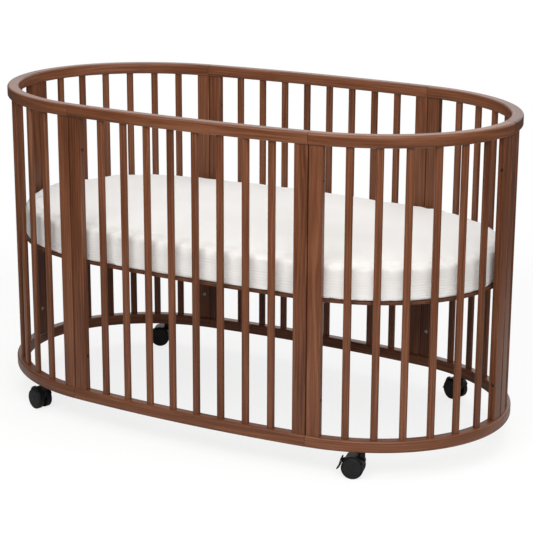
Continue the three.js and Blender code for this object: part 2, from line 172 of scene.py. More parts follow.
# ---------------------------------------------------------------- node helpers
class Nodes:
    def __init__(self, name, **flat):
        self.mat = bpy.data.materials.new(name)
        self.mat.use_nodes = True
        self.t = self.mat.node_tree
        self.bsdf = self.t.nodes["Principled BSDF"]
        for k, v in flat.items():
            self.bsdf.inputs[k.replace("_", " ")].default_value = v

    def node(self, kind, **props):
        n = self.t.nodes.new(kind)
        for k, v in props.items():
            setattr(n, k, v)
        return n

    def link(self, a, b):
        self.t.links.new(a, b)

    def put(self, socket, value):
        if hasattr(value, "is_linked") or isinstance(value, bpy.types.NodeSocket):
            self.link(value, socket)
        else:
            socket.default_value = value

    def attribute(self, name, out="Vector"):
        return self.node("ShaderNodeAttribute", attribute_name=name).outputs[out]

    def coords(self):
        return self.node("ShaderNodeTexCoord").outputs["Object"]

    def scaled(self, vector, s):
        n = self.node("ShaderNodeVectorMath", operation="MULTIPLY")
        self.put(n.inputs[0], vector)
        n.inputs[1].default_value = s
        return n.outputs[0]

    def noise(self, vector, scale=1.0, detail=2.0, rough=0.5, distortion=0.0):
        n = self.node("ShaderNodeTexNoise")
        self.put(n.inputs["Vector"], vector)
        n.inputs["Scale"].default_value = scale
        n.inputs["Detail"].default_value = detail
        n.inputs["Roughness"].default_value = rough
        n.inputs["Distortion"].default_value = distortion
        return n.outputs["Fac"]

    def math(self, op, *values, clamp=False):
        n = self.node("ShaderNodeMath", operation=op, use_clamp=clamp)
        for i, v in enumerate(values):
            self.put(n.inputs[i], v)
        return n.outputs[0]

    def remap(self, value, a, b, c=0.0, d=1.0):
        n = self.node("ShaderNodeMapRange", interpolation_type="SMOOTHSTEP")
        self.put(n.inputs[0], value)
        for i, v in enumerate((a, b, c, d)):
            n.inputs[i + 1].default_value = v
        return n.outputs[0]

    def ramp(self, fac, stops):
        n = self.node("ShaderNodeValToRGB")
        e = n.color_ramp.elements
        while len(e) < len(stops):
            e.new(0.5)
        for i, (p, c) in enumerate(stops):
            e[i].position = p
            e[i].color = (*c, 1)
        self.put(n.inputs[0], fac)
        return n.outputs[0]

    def mix(self, fac, a, b, kind="MIX"):
        n = self.node("ShaderNodeMix", data_type="RGBA", blend_type=kind)
        self.put(n.inputs["Factor"], fac)
        self.put(n.inputs[6], a if not isinstance(a, tuple) else (*a, 1))
        self.put(n.inputs[7], b if not isinstance(b, tuple) else (*b, 1))
        return n.outputs[2]

    def split(self, vector):
        n = self.node("ShaderNodeSeparateXYZ")
        self.put(n.inputs[0], vector)
        return n.outputs

    def bump(self, height, strength, distance):
        n = self.node("ShaderNodeBump")
        n.inputs["Strength"].default_value = strength
        n.inputs["Distance"].default_value = distance
        self.put(n.inputs["Height"], height)
        self.link(n.outputs[0], self.bsdf.inputs["Normal"])

    def done(self, color=None, rough=None):
        if color is not None:
            self.put(self.bsdf.inputs["Base Color"], color)
        if rough is not None:
            self.put(self.bsdf.inputs["Roughness"], rough)
        return self.mat


def wood_material(name, dark, mid, light, rough0=0.40, gain=1.0, plies=False):
    """Stained hardwood. The mesh attribute grain runs along the fibres in x; tone shifts a whole board."""
    m = Nodes(name, Specular_IOR_Level=0.30)
    g = m.attribute("grain")
    tone = m.attribute("tone", "Fac")
    broad = m.noise(m.scaled(g, (2.6, 26, 26)), detail=3, rough=0.55, distortion=0.3)
    streak = m.noise(m.scaled(g, (7, 300, 300)), detail=5, rough=0.62, distortion=0.15)
    fleck = m.noise(m.scaled(g, (110, 1500, 1500)), detail=2, rough=0.5)
    warp = m.noise(m.scaled(g, (3.2, 18, 18)), detail=2, rough=0.5)
    s = m.split(g)
    radius = m.math("SQRT", m.math("ADD", m.math("MULTIPLY", s[1], s[1]), m.math("MULTIPLY", s[2], s[2])))
    rho = m.math("ADD", m.math("ADD", radius, m.math("MULTIPLY", warp, 0.016)), m.math("MULTIPLY", s[0], 0.004))
    ring = m.math("SINE", m.math("MULTIPLY", rho, 2 * math.pi / 0.0062))
    ring = m.math("POWER", m.math("ADD", m.math("MULTIPLY", ring, 0.5), 0.5), 2.2)
    f = m.math("ADD", 0.46, m.math("MULTIPLY", m.math("SUBTRACT", broad, 0.5), 0.85 * gain))
    f = m.math("ADD", f, m.math("MULTIPLY", m.math("SUBTRACT", streak, 0.5), 0.95 * gain))
    f = m.math("ADD", f, m.math("MULTIPLY", m.math("SUBTRACT", ring, 0.35), 0.20 * gain))
    f = m.math("ADD", f, m.math("MULTIPLY", tone, 0.22), clamp=True)
    color = m.ramp(f, [(0.12, dark), (0.48, mid), (0.9, light)])
    pores = m.remap(fleck, 0.60, 0.74)
    color = m.mix(m.math("MULTIPLY", pores, 0.42), color, tuple(c * 0.45 for c in dark))
    if plies:
        z = m.split(m.coords())[2]
        ply = m.math("SINE", m.math("MULTIPLY", z, 2 * math.pi / 0.0028))
        color = m.mix(m.remap(ply, -0.2, 0.5, 0, 0.4), color, dark)
    m.bump(m.math("ADD", m.math("MULTIPLY", streak, 0.6), m.math("MULTIPLY", pores, -0.5)), 0.22, 0.0006)
    rough = m.math("ADD", rough0, m.math("MULTIPLY", m.math("SUBTRACT", streak, 0.5), 0.25))
    return m.done(color, m.math("ADD", rough, m.math("MULTIPLY", pores, 0.15)))


WOOD = wood_material("stained_beech", (0.070, 0.0215, 0.0082), (0.146, 0.0500, 0.0212), (0.245, 0.0980, 0.0480), rough0=0.35)
PLY = wood_material("stained_plywood", (0.075, 0.026, 0.012), (0.135, 0.050, 0.024), (0.20, 0.085, 0.046), rough0=0.5)
PLY_EDGE = wood_material("plywood_edge", (0.055, 0.018, 0.008), (0.125, 0.044, 0.020), (0.19, 0.078, 0.040), rough0=0.6, plies=True)


def fabric_material():
    """White jersey cover: fine knit all over, soft horizontal gathers round the side."""
    m = Nodes("mattress_cover", Roughness=0.88, Sheen_Weight=0.25, Sheen_Roughness=0.5)
    p = m.coords()
    s = m.split(p)
    knit = m.node("ShaderNodeTexVoronoi", feature="SMOOTH_F1")
    m.put(knit.inputs["Vector"], m.scaled(p, (620, 620, 620)))
    knit.inputs["Scale"].default_value = 1.0
    twill = m.math("SINE", m.math("MULTIPLY", m.math("ADD", s[0], s[1]), 2 * math.pi / 0.0016))
    wobble = m.noise(m.scaled(p, (5, 5, 26)), detail=2)
    ribs = m.math("SINE", m.math("ADD", m.math("MULTIPLY", s[2], 2 * math.pi / 0.0068), m.math("MULTIPLY", wobble, 7.0)))
    side = m.math("MULTIPLY", m.remap(s[2], 0.441, 0.452), m.remap(s[2], 0.512, 0.494))
    patch = m.remap(m.noise(m.scaled(p, (3.1, 3.1, 9)), detail=1), 0.40, 0.66, 0.25, 1.0)
    ribs = m.math("MULTIPLY", m.math("MULTIPLY", ribs, side), patch)
    crease = m.noise(m.scaled(p, (9, 9, 30)), detail=4, rough=0.6, distortion=0.8)
    height = m.math("ADD", m.math("MULTIPLY", knit.outputs["Distance"], 0.10), m.math("MULTIPLY", twill, 0.03))
    height = m.math("ADD", height, m.math("MULTIPLY", ribs, 0.42))
    height = m.math("ADD", height, m.math("MULTIPLY", crease, 1.0))
    m.bump(height, 0.55, 0.0016)
    shade = m.noise(m.scaled(p, (2.2, 2.2, 14)), detail=3)
    color = m.ramp(shade, [(0.3, (0.80, 0.785, 0.76)), (0.7, (0.90, 0.89, 0.875))])
    # painted shade: the troughs of the side gathers are darkened towards a warm grey
    color = m.mix(m.math("MULTIPLY", m.remap(ribs, 0.1, -0.7), 0.16), color, (0.58, 0.53, 0.47))
    return m.done(color)


def plastic_material(name, base, rough0):
    """Moulded black plastic: fine spark-eroded texture, faintly lighter and darker in broad patches."""
    m = Nodes(name, Specular_IOR_Level=0.22)
    p = m.coords()
    fine = m.noise(m.scaled(p, (900, 900, 900)), detail=2)
    broad = m.noise(m.scaled(p, (60, 60, 60)), detail=3)
    color = m.ramp(broad, [(0.3, tuple(c * 0.85 for c in base)), (0.7, tuple(c * 1.25 for c in base))])
    m.bump(fine, 0.18, 0.0003)
    return m.done(color, m.math("ADD", rough0, m.math("MULTIPLY", m.math("SUBTRACT", broad, 0.5), 0.22)))


def metal_material(name, base, rough0, metal):
    m = Nodes(name, Metallic=metal)
    p = m.coords()
    brushed = m.noise(m.scaled(p, (70, 70, 2200)), detail=3)
    spot = m.noise(m.scaled(p, (140, 140, 140)), detail=3)
    color = m.ramp(spot, [(0.3, tuple(c * 0.8 for c in base)), (0.7, base)])
    m.bump(brushed, 0.12, 0.0002)
    return m.done(color, m.math("ADD", rough0, m.math("MULTIPLY", m.math("SUBTRACT", brushed, 0.5), 0.3)))


COVER = fabric_material()
HOUSING = plastic_material("caster_black", (0.0045, 0.0045, 0.0047), 0.42)
TYRE = plastic_material("wheel_rim_black", (0.0040, 0.0040, 0.0042), 0.42)
DISC = plastic_material("wheel_face_black", (0.0110, 0.0110, 0.0112), 0.50)
BLACK_STEEL = metal_material("blackened_steel", (0.030, 0.028, 0.027), 0.36, 0.7)
ZINC = metal_material("zinc_steel", (0.66, 0.66, 0.64), 0.30, 1.0)


# ---------------------------------------------------------------- mesh helpers
def new_object(name, verts, faces, mats, body, grain=None, tone=0.0, replaces=(), face_mats=None, flat=False, weighted=True):
    me = bpy.data.meshes.new(name)
    me.from_pydata([tuple(v) for v in verts], [], faces)
    for m in mats if isinstance(mats, (list, tuple)) else [mats]:
        me.materials.append(m)
    bm = bmesh.new()
    bm.from_mesh(me)
    bmesh.ops.recalc_face_normals(bm, faces=bm.faces)
    bm.to_mesh(me)
    bm.free()
    if face_mats:
        for p, k in zip(me.polygons, face_mats):
            p.material_index = k
    me.polygons.foreach_set("use_smooth", [not flat] * len(me.polygons))
    if grain is not None:
        a = me.attributes.new("grain", "FLOAT_VECTOR", "POINT")
        a.data.foreach_set("vector", [c for v in grain for c in v])
        t = me.attributes.new("tone", "FLOAT", "POINT")
        t.data.foreach_set("value", [tone] * len(me.vertices))
    me.update()
    ob = bpy.data.objects.new(name, me)
    scene.collection.objects.link(ob)
    if weighted and not flat:
        w = ob.modifiers.new("weighted", "WEIGHTED_NORMAL")
        w.mode = "FACE_AREA"
        w.keep_sharp = True
    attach(ob, body)
    if replaces:
        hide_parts(*replaces)
    return ob


def rounded(w, d, r, n=5):
    pts = []
    for cx, cy, a0 in ((w / 2 - r, d / 2 - r, 0), (-w / 2 + r, d / 2 - r, 90), (-w / 2 + r, -d / 2 + r, 180), (w / 2 - r, -d / 2 + r, 270)):
        for i in range(n + 1):
            a = math.radians(a0 + 90 * i / n)
            pts.append((cx + r * math.cos(a), cy + r * math.sin(a)))
    return pts


rng = random.Random(4111)


def board_offset(cathedral=0.0):
    """Where a board was sawn from: along the log, and the pith's place beside it."""
    a = rng.uniform(-0.05, 0.05) if rng.random() < cathedral else rng.choice((-1, 1)) * rng.uniform(0.05, 0.14)
    b = rng.choice((-1, 1)) * rng.uniform(0.02, 0.10)
    return (rng.uniform(0, 40), a, b)


def loft(rings, closed_caps=True):
    """Quads between equal rings of points, with an n-gon on each end."""
    verts = [p for ring in rings for p in ring]
    n = len(rings[0])
    faces = []
    for k in range(len(rings) - 1):
        for i in range(n):
            j = (i + 1) % n
            faces.append((k * n + i, k * n + j, (k + 1) * n + j, (k + 1) * n + i))
    if closed_caps:
        faces.append(tuple(range(n - 1, -1, -1)))
        faces.append(tuple((len(rings) - 1) * n + i for i in range(n)))
    return verts, faces


def scaled_section(section, by):
    """Section moved inward by a distance, keeping its rounded corners."""
    w = max(p[0] for p in section)
    d = max(p[1] for p in section)
    return [(u * (w - by) / w, v * (d - by) / d) for u, v in section]


def bar_on_path(name, panel, z0, replaces, body="crib", tone=0.0, step=0.010):
    """A rail: rounded square section swept along the panel's curve, ends slightly eased."""
    path = paths[panel]
    section = rounded(RAIL, RAIL, 0.006, 6)
    zc = z0 + RAIL / 2
    d0, d1 = SEAM, path.length - SEAM
    n = round((d1 - d0) / step)
    dist = [d0, d0 + 0.0006] + [d0 + (d1 - d0) * i / n for i in range(1, n)] + [d1 - 0.0006, d1]
    off = board_offset(0.3)
    rings, grain = [], []
    for k, d in enumerate(dist):
        x, y, a = path.place(d)
        sec = scaled_section(section, 0.0006) if k in (0, len(dist) - 1) else section
        nx, ny = -math.sin(a), math.cos(a)
        rings.append([(x + nx * u, y + ny * u, zc + v) for u, v in sec])
        grain += [(d + off[0], u + off[1], v + off[2]) for u, v in sec]
    verts, faces = loft(rings)
    return new_object(name, verts, faces, WOOD, body, grain, tone, replaces)


def upright(name, x, y, angle, w, d, r, z0, z1, replaces, tone=0.0, cathedral=0.0, off=None, n=4, step=0.03):
    """A spindle or post: rounded section drawn up along z, ends eased where they meet the rails."""
    section = rounded(w, d, r, n)
    zs = [z0, z0 + 0.0008]
    k = round((z1 - z0) / step)
    zs += [z0 + (z1 - z0) * i / k for i in range(1, k)] + [z1 - 0.0008, z1]
    off = off or board_offset(cathedral)
    tx, ty = math.cos(angle), math.sin(angle)
    rings, grain = [], []
    for i, z in enumerate(zs):
        sec = scaled_section(section, 0.0006) if i in (0, len(zs) - 1) else section
        rings.append([(x + tx * u - ty * v, y + ty * u + tx * v, z) for u, v in sec])
        grain += [(z + off[0], u + off[1], v + off[2]) for u, v in sec]
    verts, faces = loft(rings)
    return new_object(name, verts, faces, WOOD, "crib", grain, tone, replaces)


def lathe(profile, place, n=48, axis="z"):
    """Profile of (radius, height) turned about an axis and placed by a matrix. Both ends lie on the axis."""
    verts, faces = [], []
    rings = []
    for r, h in profile:
        if r < 1e-9:
            rings.append([len(verts)])
            verts.append((0, 0, h))
        else:
            rings.append(list(range(len(verts), len(verts) + n)))
            verts += [(r * math.cos(2 * math.pi * i / n), r * math.sin(2 * math.pi * i / n), h) for i in range(n)]
    bands = []
    for k, (a, b) in enumerate(zip(rings, rings[1:])):
        if len(a) == 1 and len(b) == 1:
            continue
        for i in range(n):
            j = (i + 1) % n
            if len(a) == 1:
                faces.append((a[0], b[i], b[j]))
            elif len(b) == 1:
                faces.append((a[i], a[j], b[0]))
            else:
                faces.append((a[i], a[j], b[j], b[i]))
            bands.append(k)
    turn = {"z": Matrix.Identity(4), "y": Matrix.Rotation(-math.pi / 2, 4, "X"), "x": Matrix.Rotation(math.pi / 2, 4, "Y")}[axis]
    m = place @ turn
    return [tuple(m @ Vector(v)) for v in verts], faces, bands


def at(x, y, z, angle=0.0):
    return Matrix.Translation((x, y, z)) @ Matrix.Rotation(angle, 4, "Z")


def merge(parts):
    verts, faces = [], []
    for v, f in parts:
        k = len(verts)
        verts += v
        faces += [tuple(i + k for i in face) for face in f]
    return verts, faces


def hex_socket_head(r, h, place, dome=0.35, key=0.55, depth=0.0013, n=48):
    """Button head with a hexagonal recess, its base on z = 0 of place."""
    def ring(radius, z, hexed=False):
        out = []
        for i in range(n):
            a = 2 * math.pi * i / n
            q = radius
            if hexed:
                q = radius * math.cos(math.pi / 6) / math.cos((a % (math.pi / 3)) - math.pi / 6)
            out.append(tuple(place @ Vector((q * math.cos(a), q * math.sin(a), z))))
        return out
    rr = r * key
    rings = [ring(r, 0), ring(r, h * 0.35)]
    for k in range(1, 5):
        t = k / 5
        rings.append(ring(r - (r - rr) * t * 0.85, h * (0.35 + 0.65 * math.sin(t * math.pi / 2))))
    rings += [ring(rr * 1.06, h, True), ring(rr, h - 0.0002, True), ring(rr, h - depth, True)]
    return loft(rings)


# ---------------------------------------------------------------- rails, posts and spindles
tones_top = {"front": 0.15, "back": 0.0, "front_right": 0.1, "back_right": -0.1, "back_left": 0.1, "front_left": 0.25}
tones_low = {"front": 0.2, "back": -0.1, "front_right": 0.3, "back_right": 0.0, "back_left": 0.0, "front_left": 0.1}
# board tone per post; front_right, the front panel's right post, is also set darker as painted shade, since it faces
# away from the light
post_tone_and_shade = {
    "front_left": -0.35, "front_right": -0.30, "back_left": -0.1, "back_right": 0.1,
    "front_right_side": 0.35, "front_right_end": -0.2, "front_left_side": 0.15, "front_left_end": -0.1,
    "back_left_side": 0.1, "back_left_end": 0.0, "back_right_side": -0.25, "back_right_end": -0.2,
}
JOINTS = {
    "front_left": (-JOINT_X, -JOINT_Y, -JOINT_ANGLE),
    "front_right": (JOINT_X, -JOINT_Y, JOINT_ANGLE),
    "back_right": (JOINT_X, JOINT_Y, -JOINT_ANGLE),
    "back_left": (-JOINT_X, JOINT_Y, JOINT_ANGLE),
    "right_end": (END_X, 0.0, math.pi / 2),
    "left_end": (-END_X, 0.0, math.pi / 2),
}
for panel, (side, sx, sy) in PANELS.items():
    path = paths[panel]
    bar_on_path(f"toprail_{panel}", panel, TOP_Z0, (f"top_rail_{panel}",), tone=tones_top[panel])
    bar_on_path(f"lowrail_{panel}", panel, LOW_Z0, (f"lower_rail_and_spindles_{panel}",), tone=tones_low[panel])
    count = SIDE_SPINDLES if side else QUARTER_SPINDLES
    gap = (path.length - 2 * (POST_BACK + POST_W) - count * SPINDLE_W) / (count + 1)
    for i in range(count):
        x, y, a = path.place(POST_BACK + POST_W + gap * (i + 1) + SPINDLE_W * (i + 0.5))
        upright(f"spindle_{panel}_{i + 1}", x, y, a, SPINDLE_W, SPINDLE_D, SPINDLE_ROUND, LOW_Z1 - 0.002, TOP_Z0 + 0.002, (), tone=rng.uniform(-0.3, 0.35), cathedral=0.2)
    ends = ("left", "right") if side else ("side", "end")
    for k, end in enumerate(ends):
        x, y, a = path.place(POST_BACK + POST_W / 2 if k == 0 else path.length - POST_BACK - POST_W / 2)
        key = f"{panel}_{end}"
        off = (3.1, 0.012, 0.060) if key == "front_right_side" else None
        upright(f"post_board_{key}", x, y, a, POST_W, POST_D, 0.0022, LOW_Z1 - 0.0002, TOP_Z0 + 0.0002, (f"post_{key}",), tone=post_tone_and_shade[key], cathedral=0.6, off=off)

# ---------------------------------------------------------------- connector bolts
for name, (jx, jy, ja) in JOINTS.items():
    for level in ("upper", "lower"):
        node = f"connector_bolt_{name}_{level}"
        lo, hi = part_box(node)
        z = (lo.z + hi.z) / 2
        half = POST_BACK + POST_W + 0.0005 + 0.0016
        parts = []
        for way in (1, -1):
            m = at(jx, jy, z, ja) @ Matrix.Rotation(way * math.pi / 2, 4, "Y") @ Matrix.Translation((0, 0, half - 0.0042))
            parts.append(hex_socket_head(0.0042, 0.0042, m))
        v, f, _ = lathe([(0, -0.038), (0.003, -0.038), (0.003, 0.038), (0, 0.038)], at(jx, jy, z, ja), 24, "x")
        parts.append((v, f))
        v, f = merge(parts)
        new_object(f"bolt_{name}_{level}", v, f, BLACK_STEEL, "crib", replaces=(node,))

# ---------------------------------------------------------------- mattress base
base_lo, base_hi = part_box("mattress_base")
BASE_TOP = base_hi.z
BASE_T, BATTEN_H = 0.007, 0.016
BASE_Z = BASE_TOP - BASE_T


def plate(name, rings, z0, z1, ease, mats, body, replaces=()):
    """A flat board with holes: outline first, then holes, edges eased all round."""
    curve = bpy.data.curves.new(name, "CURVE")
    curve.dimensions = "2D"
    curve.fill_mode = "BOTH"
    for ring in rings:
        sp = curve.splines.new("POLY")
        sp.points.add(len(ring) - 1)
        for p, (x, y) in zip(sp.points, ring):
            p.co = (x, y, 0, 1)
        sp.use_cyclic_u = True
    curve.extrude = (z1 - z0) / 2 - ease
    curve.bevel_depth = ease
    curve.bevel_resolution = 2
    curve.offset = -ease
    tmp = bpy.data.objects.new(name + "_curve", curve)
    scene.collection.objects.link(tmp)
    bpy.context.view_layer.update()
    me = bpy.data.meshes.new_from_object(tmp.evaluated_get(bpy.context.evaluated_depsgraph_get()))
    bpy.data.objects.remove(tmp)
    bm = bmesh.new()
    bm.from_mesh(me)
    bmesh.ops.remove_doubles(bm, verts=bm.verts, dist=1e-6)
    bmesh.ops.recalc_face_normals(bm, faces=bm.faces)
    verts = [(v.co.x, v.co.y, v.co.z + (z0 + z1) / 2) for v in bm.verts]
    bm.verts.index_update()
    faces = [tuple(v.index for v in f.verts) for f in bm.faces]
    upward = [0 if abs(f.normal.z) > 0.7 else 1 for f in bm.faces]
    bm.free()
    bpy.data.meshes.remove(me)
    grain = [(x + 7, (y + 0.8) * 0.9, z * 0.6 + 0.1) for x, y, z in verts]
    return new_object(name, verts, faces, mats, body, grain, -0.1, replaces, face_mats=upward)


def slotted(cx, cy, w, h, n=10):
    r = w / 2
    pts = []
    for i in range(n + 1):
        a = math.pi * i / n
        pts.append((cx + r * math.cos(a), cy + h / 2 - r + r * math.sin(a)))
    for i in range(n + 1):
        a = math.pi + math.pi * i / n
        pts.append((cx + r * math.cos(a), cy - h / 2 + r + r * math.sin(a)))
    return pts[::-1]


holes = []
for x in (-0.540, -0.430, -0.240, -0.130, 0.130, 0.240, 0.430, 0.540):
    for y in (-0.120, 0.120):
        if abs(x) > 0.5 and y > 0:
            continue
        holes.append(slotted(x, 0.0 if abs(x) > 0.5 else y, 0.026, 0.130))
plate("base_board", [outline(0.033)] + holes, BASE_Z, BASE_TOP, 0.0012, [PLY, PLY_EDGE], "crib", ("mattress_base",))
for k, x in enumerate((-0.335, 0.0, 0.335)):
    sec = rounded(0.040, BATTEN_H, 0.003, 4)
    off = board_offset()
    ys = [-0.250, -0.249] + [-0.25 + 0.5 * i / 16 for i in range(1, 16)] + [0.249, 0.250]
    rings, grain = [], []
    for i, y in enumerate(ys):
        s2 = scaled_section(sec, 0.001) if i in (0, len(ys) - 1) else sec
        rings.append([(x + u, y, BASE_Z - BATTEN_H / 2 + v) for u, v in s2])
        grain += [(y + off[0], u + off[1], v + off[2]) for u, v in s2]
    v, f = loft(rings)
    new_object(f"base_batten_{k + 1}", v, f, WOOD, "crib", grain, -0.1)
    parts = [hex_socket_head(0.0045, 0.0024, Matrix.Translation((x, y, BASE_Z - BATTEN_H)) @ Matrix.Rotation(math.pi, 4, "X")) for y in (-0.2, 0.0, 0.2)]
    v, f = merge(parts)
    new_object(f"batten_screws_{k + 1}", v, f, ZINC, "crib")

# ---------------------------------------------------------------- brackets, their bolts, and the spare inserts
SEATS = [
    ("front_right", "front_right", 0), ("back_right", "back_right", 0), ("back_left", "back_left", 0),
    ("front_left", "front_left", 0), ("right_end", "back_right", 1), ("left_end", "front_left", 1),
]
BR_T, BR_W, BR_UP, BR_IN = 0.0025, 0.030, 0.047, 0.040
for name, panel, k in SEATS:
    path = paths[panel]
    x, y, a = path.place(POST_BACK + POST_W / 2 if k == 0 else path.length - POST_BACK - POST_W / 2)
    inward = a + math.pi / 2
    if math.cos(inward) * x + math.sin(inward) * y > 0:
        inward += math.pi
    off = POST_D / 2 + 0.0003
    place = at(x + off * math.cos(inward), y + off * math.sin(inward), BASE_Z - 0.0003 - BR_T, inward)
    # bent strip: outer line down the post, round the bend, and in under the base
    bend = 0.004
    line = [(BR_T / 2, BR_UP), (BR_T / 2, BR_UP * 0.5), (BR_T / 2, bend + BR_T / 2)]
    for i in range(1, 7):
        t = math.pi / 2 * i / 6
        line.append((BR_T / 2 + bend * (1 - math.cos(t)), BR_T / 2 + bend * (1 - math.sin(t))))
    line += [(BR_IN * 0.5, BR_T / 2), (BR_IN, BR_T / 2)]
    sec = rounded(BR_W, BR_T, 0.0007, 3)
    rings = []
    for i, (px, pz) in enumerate(line):
        q0, q1 = line[max(0, i - 1)], line[min(len(line) - 1, i + 1)]
        tx, tz = q1[0] - q0[0], q1[1] - q0[1]
        s_ = math.hypot(tx, tz)
        nx, nz = -tz / s_, tx / s_
        s2 = scaled_section(sec, 0.0005) if i in (0, len(line) - 1) else sec
        rings.append([tuple(place @ Vector((px + nx * v, u, pz + nz * v))) for u, v in s2])
    v, f = loft(rings)
    new_object(f"bracket_{name}", v, f, ZINC, "crib", replaces=(f"base_bracket_{name}",))
    out = place @ Matrix.Translation((BR_T, 0, 0.031)) @ Matrix.Rotation(math.pi / 2, 4, "Y")
    v, f = hex_socket_head(0.0052, 0.0027, out)
    new_object(f"bracket_bolt_{name}", v, f, ZINC, "crib")
    under = place @ Matrix.Translation((0.027, 0, 0)) @ Matrix.Rotation(math.pi, 4, "X")
    v, f = hex_socket_head(0.0045, 0.0022, under)
    new_object(f"bracket_screw_{name}", v, f, ZINC, "crib")
    # threaded insert for the low mattress position
    seat = at(x + POST_D / 2 * math.cos(inward), y + POST_D / 2 * math.sin(inward), 0.1690, inward) @ Matrix.Rotation(math.pi / 2, 4, "Y")
    v, f = hex_socket_head(0.0048, 0.0009, seat, key=0.60, depth=0.0026)
    new_object(f"insert_{name}", v, f, ZINC, "crib")

# ---------------------------------------------------------------- mattress
mat_lo, mat_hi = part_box("mattress")


def pad_mesh(inset, z0, z1, r_low, r_top, crown):
    """Closed oval pad: rings down the side, then rings inward over the top and the bottom."""
    prof = []
    for i in range(7):
        t = math.pi / 2 * i / 6
        prof.append((inset + r_low * (1 - math.sin(t)), z0 + r_low * (1 - math.cos(t))))
    for i in range(1, 8):
        prof.append((inset, z0 + r_low + (z1 - z0 - r_low - r_top) * i / 8))
    for i in range(7):
        t = math.pi / 2 * i / 6
        prof.append((inset + r_top * (1 - math.cos(t)), z1 - r_top + r_top * math.sin(t)))
    verts, rings = [], []

    def add_ring(ins, z, squeeze=0.0):
        pts = outline(ins, 0.014)
        if squeeze:
            pts = [(px * (1 - squeeze), py * (1 - squeeze)) for px, py in pts]
        rings.append(list(range(len(verts), len(verts) + len(pts))))
        verts.extend((px, py, z) for px, py in pts)
    for ins, z in prof:
        add_ring(ins, z)
    n = len(rings[0])
    top_in = prof[-1][0]
    for k in range(1, 20):
        t = k / 20
        add_ring(top_in, z1 + crown * (1 - (1 - t) ** 2), t)
    faces = []
    for a, b in zip(rings, rings[1:]):
        for i in range(n):
            j = (i + 1) % n
            faces.append((a[i], a[j], b[j], b[i]))
    c = len(verts)
    verts.append((0, 0, z1 + crown))
    last = rings[-1]
    faces += [(last[i], last[(i + 1) % n], c) for i in range(n)]
    # bottom
    prev = rings[0]
    for k in range(1, 12):
        t = k / 12
        start = len(verts)
        verts += [(verts[i][0] * (1 - t), verts[i][1] * (1 - t), z0) for i in rings[0]]
        cur = list(range(start, start + n))
        faces += [(prev[(i + 1) % n], prev[i], cur[i], cur[(i + 1) % n]) for i in range(n)]
        prev = cur
    c = len(verts)
    verts.append((0, 0, z0))
    faces += [(prev[(i + 1) % n], prev[i], c) for i in range(n)]
    return verts, faces


verts, faces = pad_mesh(0.0355, mat_lo.z, mat_hi.z + 0.001, 0.003, 0.010, 0.003)
me = bpy.data.meshes.new("mattress_pad")
me.from_pydata(verts, [], faces)
pad = bpy.data.objects.new("mattress_pad", me)
scene.collection.objects.link(pad)


def bake_modifiers(ob):
    bpy.context.view_layer.update()
    made = bpy.data.meshes.new_from_object(ob.evaluated_get(bpy.context.evaluated_depsgraph_get()))
    old = ob.data
    ob.modifiers.clear()
    ob.data = made
    bpy.data.meshes.remove(old)


rm = pad.modifiers.new("remesh", "REMESH")
rm.mode = "VOXEL"
rm.voxel_size = 0.0075
rm.use_smooth_shade = True
bake_modifiers(pad)
rest = [v.co.copy() for v in pad.data.vertices]
low = mat_lo.z + 0.006
pin = pad.vertex_groups.new(name="rests_on_base")
pin.add([i for i, c in enumerate(rest) if c.z < low], 1.0, "REPLACE")
cl = pad.modifiers.new("cloth", "CLOTH")
st = cl.settings
st.quality = 6
st.mass = 0.25
st.use_pressure = True
st.uniform_pressure_force = 4.0
st.effector_weights.gravity = 0.0
st.tension_stiffness = st.compression_stiffness = 18
st.shear_stiffness = 6
st.bending_stiffness = 0.4
st.shrink_min = -0.012
st.vertex_group_mass = "rests_on_base"
cl.point_cache.frame_start = 1
cl.point_cache.frame_end = 20
for frame_number in range(1, 21):
    scene.frame_set(frame_number)
bake_modifiers(pad)
scene.frame_set(1)
# cap the swelling: 2 mm sideways, so that the pad still lifts out past the rails, and 6 mm upwards
for v, c in zip(pad.data.vertices, rest):
    move = v.co - c
    flat = Vector((move.x, move.y, 0))
    if flat.length > 0.002:
        flat *= 0.002 / flat.length
    v.co = c + flat + Vector((0, 0, max(-0.001, min(0.006, move.z))))
    v.co.z = max(v.co.z, mat_lo.z)
pad.vertex_groups.clear()
sub = pad.modifiers.new("sub", "SUBSURF")
sub.levels = sub.render_levels = 1
bake_modifiers(pad)

# soft wrinkles where the cover is pulled over the top edge
ring_pts = outline(0.034, 0.02)
ring_s = [0.0]
for p, q in zip(ring_pts, ring_pts[1:]):
    ring_s.append(ring_s[-1] + math.hypot(q[0] - p[0], q[1] - p[1]))
sectors = {}
for i, (px, py) in enumerate(ring_pts):
    sectors.setdefault(int((math.atan2(py, px) + math.pi) / (2 * math.pi) * 90), []).append(i)


def nearest(x, y):
    k = int((math.atan2(y, x) + math.pi) / (2 * math.pi) * 90)
    cand = [i for d in (-2, -1, 0, 1, 2) for i in sectors.get((k + d) % 90, [])]
    i = min(cand, key=lambda q: (ring_pts[q][0] - x) ** 2 + (ring_pts[q][1] - y) ** 2)
    return ring_s[i], math.hypot(ring_pts[i][0] - x, ring_pts[i][1] - y)


